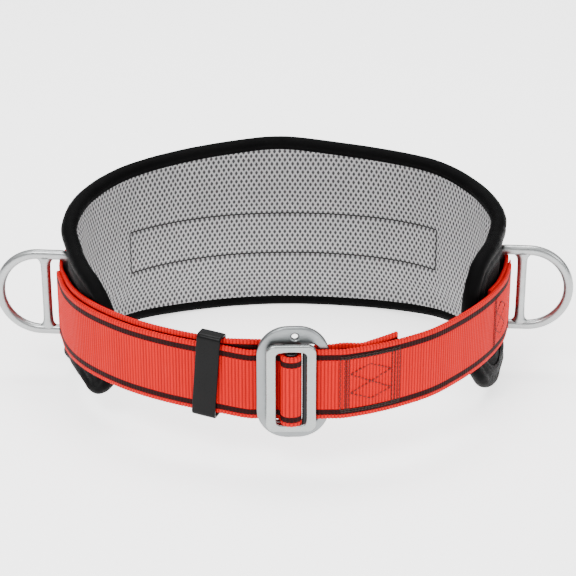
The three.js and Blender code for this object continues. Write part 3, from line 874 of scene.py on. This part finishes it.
def make_cushion(material):
    """The padded body, puffed between its seams, with the black cloth of its outer face."""
    points, faces = cushion_solid()
    piece = add_piece("pad_cushion", points, faces, material, None)
    remesh = piece.modifiers.new("remesh", "REMESH")
    remesh.mode = "VOXEL"
    remesh.voxel_size = CUSHION_VOXEL
    settled = bpy.data.meshes.new_from_object(piece.evaluated_get(bpy.context.evaluated_depsgraph_get()))
    piece.modifiers.clear()
    piece.data = settled
    s, z, depth = to_pad(belt_points(settled))
    held = (np.abs(z) < WEB["width"] / 2) & (depth < PAD["thick"] / 2)
    on_seam = np.abs(np.abs(z - SEAM["z"]) - SEAM["half"]) < 2.5
    on_seam &= (s < SEAM["left"] + 3) & (s > SEAM["right"] - 3)
    held |= on_seam & (depth > PAD["thick"] / 2)
    group = piece.vertex_groups.new(name="sewn")
    group.add([int(i) for i in np.nonzero(held)[0]], 1.0, "REPLACE")
    puff(piece)
    s, z, depth = to_pad(belt_points(piece.data))
    least = np.where(np.abs(z) < WEB["width"] / 2 + 2, 0.15, -0.9)
    depth = np.clip(depth, least, PAD["thick"] - 1.3)
    points = pad_point(s, z, depth)
    piece.data.vertices.foreach_set("co", place(points).astype(np.float32).ravel())
    set_cloth_uv(piece.data, np.stack([s, z], 1))
    piece.data.materials.clear()
    piece.data.materials.append(material)
    piece.data.polygons.foreach_set("use_smooth", [True] * len(piece.data.polygons))
    round_off(piece)
    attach(piece, "belt")
    return piece


def liner_depths(cushion, s, z):
    """How deep the puffed cushion's inner face lies at each (s, z)."""
    tree = ray_tree(cushion)
    _, _, outward = rim_frame(s)
    depth = np.full(s.shape, PAD["thick"] - 1.4)
    origin = place(rim(s, pad_inset(s, z, 30.0), z))
    for i in np.ndindex(s.shape):
        hit = tree.ray_cast(Vector(origin[i]), Vector((*outward[i], 0)), 0.04)
        if hit[0] is not None:
            depth[i] = 30.0 - hit[3] * 1000
    return depth


def seam_groove(s, z):
    """1 on the stitched rectangle's lines, falling to 0 beside them."""
    inside_s = (s < SEAM["left"] + 0.4) & (s > SEAM["right"] - 0.4)
    off = np.abs(z - SEAM["z"])
    inside_z = off < SEAM["half"] + 0.4
    level = np.where(inside_s, np.exp(-(((off - SEAM["half"]) / 1.1) ** 2)), 0)
    sides = [np.exp(-(((s - SEAM[side]) / 1.1) ** 2)) for side in ("left", "right")]
    return np.maximum(level, np.where(inside_z, np.maximum(*sides), 0))


def make_liner(cushion, material):
    """The spacer mesh on the body side, sewn down along the stitched rectangle."""
    outline = outline_points(PAD["edge"] / 2 - 1.0, 12)
    s = end_stations(outline[:, 0].min(), outline[:, 0].max(), 2.0, (SEAM["left"], SEAM["right"]))[1:-1]
    z = pad_levels(*spans(outline, s), 2.0)
    s = np.broadcast_to(s[:, None], z.shape)
    depth = liner_depths(cushion, s, z)
    low, high = z.min(1, keepdims=True), z.max(1, keepdims=True)
    edge = np.minimum(z - low, high - z)
    near_end = np.minimum(s.max() - s, s - s.min())
    tuck = smooth(np.minimum(edge, near_end) / 9)
    depth = (PAD["thick"] - 0.9) * (1 - tuck) + (depth + 0.9) * tuck
    depth -= SEAM["depth"] * seam_groove(s, z)
    points = pad_point(s, z, depth)
    faces = grid_faces(*z.shape)
    uv = np.stack([s, z], -1).reshape(-1, 2)
    piece = add_piece("pad_liner_mesh", points.reshape(-1, 3), faces, material, None, uv)
    tidy_mesh(piece.data)
    thick = piece.modifiers.new("thickness", "SOLIDIFY")
    thick.thickness = 0.0008
    thick.offset = 0
    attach(piece, "belt")
    return piece


def tidy_mesh(mesh):
    bm = bmesh.new()
    bm.from_mesh(mesh)
    bmesh.ops.remove_doubles(bm, verts=bm.verts, dist=1e-6)
    bmesh.ops.dissolve_degenerate(bm, edges=bm.edges, dist=1e-6)
    bmesh.ops.recalc_face_normals(bm, faces=bm.faces)
    bm.to_mesh(mesh)
    bm.free()


def inner_surface(piece):
    """A function giving the point and inward direction of a piece's inner face at (s, z)."""
    tree = ray_tree(piece)

    def surface(s, z):
        outward = rim_frame(s)[2]
        start = place(rim(s, pad_inset(s, z, 30.0), z))
        hit = tree.ray_cast(Vector(start), Vector((*outward, 0)), 0.05)
        inward = np.append(-outward, 0)
        if hit[0] is None:
            return rim(s, pad_inset(s, z, PAD["thick"]), z), inward
        return (np.array(hit[0]) - ORIGIN) * 1000, inward

    return surface


def sew_liner(surface, material):
    sewn = Stitches(0.75)
    low, high = SEAM["z"] - SEAM["half"], SEAM["z"] + SEAM["half"]
    for z in (low, high):
        sewn.row(surface, (SEAM["right"], z), (SEAM["left"], z), 3.2, 0.0)
    for s in (SEAM["right"], SEAM["left"]):
        sewn.row(surface, (s, low), (s, high), 3.2, 0.0)
    return sewn.build("liner_stitches", material, "pad_liner")


def binding_profile():
    """Round the binding's section: across the pad (outwards is positive) and towards its inside."""
    half = PAD["thick"] / 2
    roll = [
        (half * 1.02 * math.cos(a), -PAD["edge"] / 2 * math.sin(a))
        for a in np.linspace(math.radians(-14), math.radians(204), 19)
    ]
    roll = roll[::-1]
    hem = [(4.55, 2.6), (4.45, 3.6), (4.9, 4.7), (5.05, 6.2), (5.0, 8.6), (4.75, 10.4), (4.2, 11.0)]
    hidden = [(3.2, 10.0), (0.5, 5.5), (-3.2, 4.6), (-4.25, 4.2)]
    return np.array(roll + hem + hidden)


def make_binding(material):
    """The rolled edge: black cloth turned over the pad's edge and hemmed on its outer face."""
    profile = binding_profile()
    path = catmull_rom(PAD_OUTLINE, True, 9)
    t = unit(np.roll(path, -1, axis=0) - np.roll(path, 1, axis=0))
    inward = np.stack([t[:, 1], -t[:, 0]], 1)
    along = lengths_along(np.vstack([path, path[:1]]))[:-1]
    turn = np.arange(len(profile))
    pucker = 0.16 * np.sin(along * 0.72 + 1.3 * np.sin(along * 0.09))[:, None] * np.sin(turn * 0.55)
    pucker = pucker + 0.10 * np.sin(along * 0.233 + 2.0)[:, None] * np.cos(turn * 0.8)
    across = profile[None, :, 0] * (1 + pucker / 8)
    inside = profile[None, :, 1] * (1 + pucker / 12)
    sz = path[:, None] + inward[:, None] * inside[..., None]
    depth = PAD["thick"] / 2 - across
    points = rim(sz[..., 0], pad_inset(sz[..., 0], sz[..., 1], 0.0) + depth, sz[..., 1])
    verts, faces = loft(points[:, ::-1], True)
    around = np.concatenate([[0], np.cumsum(np.linalg.norm(np.diff(profile, axis=0), axis=1))])
    uv = np.stack(np.broadcast_arrays(along[:, None], around[None, ::-1]), -1).reshape(-1, 2)
    piece = add_piece("pad_binding_roll", verts, faces, material, None, uv)
    round_off(piece)
    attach(piece, "belt")
    return piece


def hem_surface(s, z):
    _, _, outward = rim_frame(s)
    return rim(s, pad_inset(s, z, 0.0) - 0.02, z), np.append(outward, 0)


def sew_hem(material):
    sewn = Stitches(0.36)
    line = outline_points(8.8, 10)
    closed = np.vstack([line, line[:1]])
    at = lengths_along(closed)
    count = int(at[-1] / 3.4)
    for i in range(count):
        a, b = (i + 0.1) * at[-1] / count, (i + 0.85) * at[-1] / count
        p, q = ([np.interp(v, at, closed[:, k]) for k in (0, 1)] for v in (a, b))
        (start, normal), (end, _) = hem_surface(*p), hem_surface(*q)
        sewn.add(start, end, normal)
    return sewn.build("binding_stitches", material, "pad_binding")


# ---- buckle, keeper and rings --------------------------------------------------------------------


def turned_z(a):
    return np.array([[math.cos(a), -math.sin(a), 0], [math.sin(a), math.cos(a), 0], [0, 0, 1]])


def turned_x(a):
    return np.array([[1, 0, 0], [0, math.cos(a), -math.sin(a)], [0, math.sin(a), math.cos(a)]])


def rounded_box(x0, x1, z0, z1, r, steps=10):
    """A rounded rectangle as points, counter-clockwise."""
    corners = [(x1 - r, z0 + r, -90), (x1 - r, z1 - r, 0), (x0 + r, z1 - r, 90), (x0 + r, z0 + r, 180)]
    points = []
    for cx, cz, start in corners:
        for a in np.radians(np.linspace(start, start + 90, steps + 1)):
            points.append((cx + r * math.cos(a), cz + r * math.sin(a)))
    return points


def circle(x, z, r, steps=24):
    return [(x + r * math.cos(a), z + r * math.sin(a)) for a in np.arange(steps) * 2 * math.pi / steps]


def plate_piece(name, outlines, plate, edge, material, body):
    """A flat plate with holes and rounded edges, its front face towards -Y."""
    front, thick = plate["front"], plate["thick"]
    curve = bpy.data.curves.new(name, "CURVE")
    curve.dimensions = "2D"
    curve.fill_mode = "BOTH"
    curve.extrude = thick / 2 - edge
    curve.bevel_depth = edge
    curve.bevel_resolution = 4
    curve.offset = -edge
    for outline in outlines:
        spline = curve.splines.new("POLY")
        spline.points.add(len(outline) - 1)
        spline.points.foreach_set("co", [c for x, z in outline for c in (x, z, 0, 1)])
        spline.use_cyclic_u = True
    holder = bpy.data.objects.new(name + "_outline", curve)
    bpy.context.scene.collection.objects.link(holder)
    bpy.context.view_layer.update()
    mesh = bpy.data.meshes.new_from_object(holder.evaluated_get(bpy.context.evaluated_depsgraph_get()))
    bpy.data.objects.remove(holder)
    flat = np.array([v.co for v in mesh.vertices])
    bpy.data.curves.remove(curve)
    points = np.stack([flat[:, 0], front + thick / 2 - flat[:, 2], flat[:, 1]], 1)
    faces = [tuple(p.vertices) for p in mesh.polygons]
    bpy.data.meshes.remove(mesh)
    piece = add_piece(name, points, faces, material, body)
    tidy_mesh(piece.data)
    shade_by_angle(piece, 50)
    return piece


def shade_by_angle(piece, degrees):
    mesh = piece.data
    mesh.polygons.foreach_set("use_smooth", [True] * len(mesh.polygons))
    mesh.set_sharp_from_angle(angle=math.radians(degrees))


def make_plate(material):
    w, h, win = PLATE["width"] / 2, PLATE["height"] / 2, PLATE_WINDOW
    outlines = [
        rounded_box(-w, w, -h, h, PLATE["round"], 16),
        rounded_box(win["left"], win["right"], -win["half"], win["half"], win["round"]),
        circle(1, (win["half"] + h) / 2 - 0.6, 1.9),
    ]
    return plate_piece("buckle_plate_look", outlines, PLATE, 1.2, material, "belt")


def make_hook(material):
    w, h = HOOK["width"] / 2, HOOK["height"] / 2
    ow, oh = HOOK_OPENING["width"] / 2, HOOK_OPENING["height"] / 2
    x, z = HOOK["x"], HOOK["z"]
    outlines = [
        rounded_box(x - w, x + w, z - h, z + h, HOOK["round"], 12),
        rounded_box(x - ow, x + ow, z - oh, z + oh, HOOK_OPENING["round"]),
    ]
    return plate_piece("buckle_frame_look", outlines, HOOK, 1.1, material, "hook_frame")


def sweep_ring(outline, across, depth, sides=20):
    """A closed bar along an outline in the XZ plane, across wide in the plane and depth through it."""
    p = np.asarray(outline, float)
    t = unit(np.roll(p, -1, axis=0) - np.roll(p, 1, axis=0))
    outwards = np.stack([t[:, 1], np.zeros(len(p)), -t[:, 0]], 1)
    a = np.arange(sides) * 2 * math.pi / sides
    flat = 0.86
    ca, sa = np.sign(np.cos(a)) * np.abs(np.cos(a)) ** flat, np.sign(np.sin(a)) * np.abs(np.sin(a)) ** flat
    centre = np.stack([p[:, 0], np.zeros(len(p)), p[:, 1]], 1)
    rings = centre[:, None] + outwards[:, None] * (across / 2 * ca)[None, :, None]
    rings = rings - np.array([0, 1, 0]) * (depth / 2 * sa)[None, :, None]
    return loft(rings, True)


def ring_outline():
    half, corner = RING["height"] / 2, 4.0
    points = []
    for a in np.radians(np.linspace(180, 270, 9)):
        points.append((corner + corner * math.cos(a), -half + corner + corner * math.sin(a)))
    for x in np.linspace(corner + 2, RING["arc"] - 2, 6):
        points.append((x, -half))
    for a in np.radians(np.linspace(-90, 90, 41)):
        points.append((RING["arc"] + half * math.cos(a), half * math.sin(a)))
    for x in np.linspace(RING["arc"] - 2, corner + 2, 6):
        points.append((x, half))
    for a in np.radians(np.linspace(90, 180, 9)):
        points.append((corner + corner * math.cos(a), half - corner + corner * math.sin(a)))
    return points


def ring_pivot(side):
    s = RING_S[side]
    return rim(s, web_inset(s) + 1.2 + 2 * GAP + RING["bar"] / 2)


def make_ring(side, material):
    """A side ring: the bent bar and the cross bar forged into it with a fillet at each end."""
    half = RING["height"] / 2
    reach = half - RING["bar"] / 2
    low = np.concatenate([[-half], np.linspace(0, 5, 6) - reach])
    z = np.concatenate([low, np.linspace(-12, 12, 5), -low[::-1]])
    grow = np.exp(-((reach - np.abs(z)).clip(0) / 1.6))
    a = np.arange(20) * 2 * math.pi / 20
    wide = 0.98 * RING["bar"] / 2 + 2.2 * grow
    deep = 0.96 * RING["depth"] / 2 + 0.05 * grow
    cross = np.stack(
        [
            RING["cross"] + wide[:, None] * np.cos(a),
            deep[:, None] * np.sin(a),
            np.broadcast_to(z[:, None], (len(z), len(a))),
        ],
        -1,
    )
    bent = sweep_ring(ring_outline(), RING["bar"], RING["depth"])
    points, faces = joined(bent, loft(cross, False))
    _, _, outward = rim_frame(RING_S[side])
    swing = math.radians(RING_SWING[side]) * (-1 if side == "left" else 1)
    turn = turned_z(math.atan2(outward[1], outward[0]) + swing)
    points = points @ turn.T + ring_pivot(side)
    piece = add_piece("side_ring_" + side + "_look", points, faces, material, None)
    tidy_mesh(piece.data)
    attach(piece, "ring_" + side)
    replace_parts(piece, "side_ring_" + side)
    return piece


def make_bar(material):
    """The adjuster bar inside the bight of webbing, with a tab at each end."""
    half = HOOK_OPENING["height"] / 2 - 0.4
    a = np.arange(24) * 2 * math.pi / 24
    z = HOOK["z"] + np.array([-half, -half + 0.4, -10, 10, half - 0.4, half])
    size = np.array([0.86, 1, 1, 1, 1, 0.86])
    rings = np.stack(
        [
            HOOK["x"] + BAR["width"] / 2 * size[:, None] * np.cos(a),
            BAR["y"] + BAR["depth"] / 2 * size[:, None] * np.sin(a),
            np.broadcast_to(z[:, None], (len(z), len(a))),
        ],
        -1,
    )
    reach = half + BAR["tab"] - 0.4
    wide = BAR["width"] / 2
    outline = rounded_box(HOOK["x"] - wide, HOOK["x"] + wide, HOOK["z"] - reach, HOOK["z"] + reach, 1.0, 4)
    back = HOOK["front"] + HOOK["thick"] - GAP
    tab = np.array([[(x, y, z) for x, z in outline] for y in (back - BAR["tab_thick"], back)])
    points, faces = joined(loft(rings, False), loft(tab, False))
    piece = add_piece("adjuster_bar_look", points, faces, material, "adjuster")
    tidy_mesh(piece.data)
    shade_by_angle(piece, 40)
    return piece


def make_grip(material):
    """The knurled rod let into the hook frame's right rail, its diamond knurl in the mesh."""
    rows, sides = 200, 40
    z = np.linspace(GRIP["low"], GRIP["high"], rows)
    a = np.arange(sides) * 2 * math.pi / sides
    teeth = np.abs(np.sin(5 * a[None] + z[:, None] * 2.1)) * np.abs(np.sin(5 * a[None] - z[:, None] * 2.1))
    ends = np.minimum(z - GRIP["low"], GRIP["high"] - z)[:, None]
    r = GRIP["r"] - 0.16 + 0.22 * teeth * smooth(ends / 1.5) - 0.35 * (1 - smooth(ends / 0.6))
    rings = np.stack(
        [GRIP["x"] + r * np.cos(a), GRIP["y"] + r * np.sin(a), np.broadcast_to(z[:, None], r.shape)], -1
    )
    points, faces = loft(rings, False)
    return add_piece("grip_rod_look", points, faces, material, "hook_frame")


def make_keeper(material):
    """The glossy loop round both left layers, its edges and corners rounded."""
    w, d, wall = KEEPER["in_width"] / 2, KEEPER["in_depth"] / 2, KEEPER["wall"]
    inner = np.array(rounded_box(-d, d, -w, w, 1.6, 6))
    outer = np.array(rounded_box(-d - wall, d + wall, -w - wall, w + wall, 3.0, 6))
    half = KEEPER["length"] / 2
    soft = 0.55
    rings = []
    for blend, along in (
        (1, half - soft), (0.93, half - 0.16), (0.72, half), (0.28, half), (0.07, half - 0.16),
        (0, half - soft), (0, -half + soft), (0.07, -half + 0.16), (0.28, -half), (0.72, -half),
        (0.93, -half + 0.16), (1, -half + soft),
    ):
        flat = inner + (outer - inner) * blend
        rings.append(np.stack([flat[:, 0], np.full(len(flat), along), flat[:, 1]], 1))
    rings = np.array(rings)
    s = rim_where(0, KEEPER["x"], 300, 420)
    _, tangent, _ = rim_frame(s)
    turn = turned_z(math.atan2(tangent[1], tangent[0]) - math.pi / 2)
    turn = turn @ turned_x(-math.radians(KEEPER["lean"]))
    middle = rim(s, 2.55, (MAIN_LIFT + TAIL_DROP) / 2)
    points, faces = loft(rings, True)
    piece = add_piece("keeper_look", points @ turn.T + middle, faces, material, "keeper")
    tidy_mesh(piece.data)
    round_off(piece)
    return piece


# ---- the whole belt ------------------------------------------------------------------------------


def build():
    red = webbing_material()
    shell = cloth_material("black_cloth", (0.0030, 0.0030, 0.0031), 0.75, 0.6, 0.14)
    edging = cloth_material("black_edging", (0.0022, 0.0022, 0.0023), 0.6, 0.42, 0.07)
    plated = metal_material("zinc_plate", (0.21, 0.222, 0.225), 0.30, 0.02)
    bright = metal_material("bright_zinc", (0.30, 0.318, 0.313), 0.24, 0.015)
    rod = metal_material("rod_steel", (0.022, 0.024, 0.025), 0.34, 0.01)
    forged = metal_material("forged_steel", (0.33, 0.34, 0.34), 0.28, 0.02)
    dark = metal_material("bar_steel", (0.045, 0.046, 0.048), 0.36, 0.03)

    cushion = make_cushion(shell)
    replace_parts(cushion, "pad_shell", "pad_foam", "pad_stiffener")
    liner = make_liner(cushion, liner_material())
    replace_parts(liner, "pad_liner")
    sew_liner(inner_surface(liner), thread_material("liner_thread", (0.006, 0.006, 0.006)))
    binding = make_binding(edging)
    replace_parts(binding, "pad_binding")
    sew_hem(thread_material("edging_thread", (0.008, 0.008, 0.008)))

    body = webbing("body_webbing", body_path(), red, body=None)
    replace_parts(body, "main_webbing", "tail_webbing", "bar_webbing")
    tuple(place((-10, -105, 0)))
    tuple(place((-4.8, -118, 0)))
    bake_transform(body)
    strap = webbing("strap_webbing", strap_path(), red, pressed=0.55)
    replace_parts(strap, "right_strap")
    sew_strap(strap, thread_material("strap_thread", (0.035, 0.022, 0.018)))

    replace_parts(make_plate(plated), "buckle_plate")
    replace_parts(make_hook(bright), "buckle_frame")
    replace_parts(make_bar(dark), "adjuster_bar")
    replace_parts(make_grip(rod), "grip_rod")
    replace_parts(make_keeper(plastic_material()), "keeper")
    for side in ("left", "right"):
        make_ring(side, forged)


add_camera()
add_studio()
build()
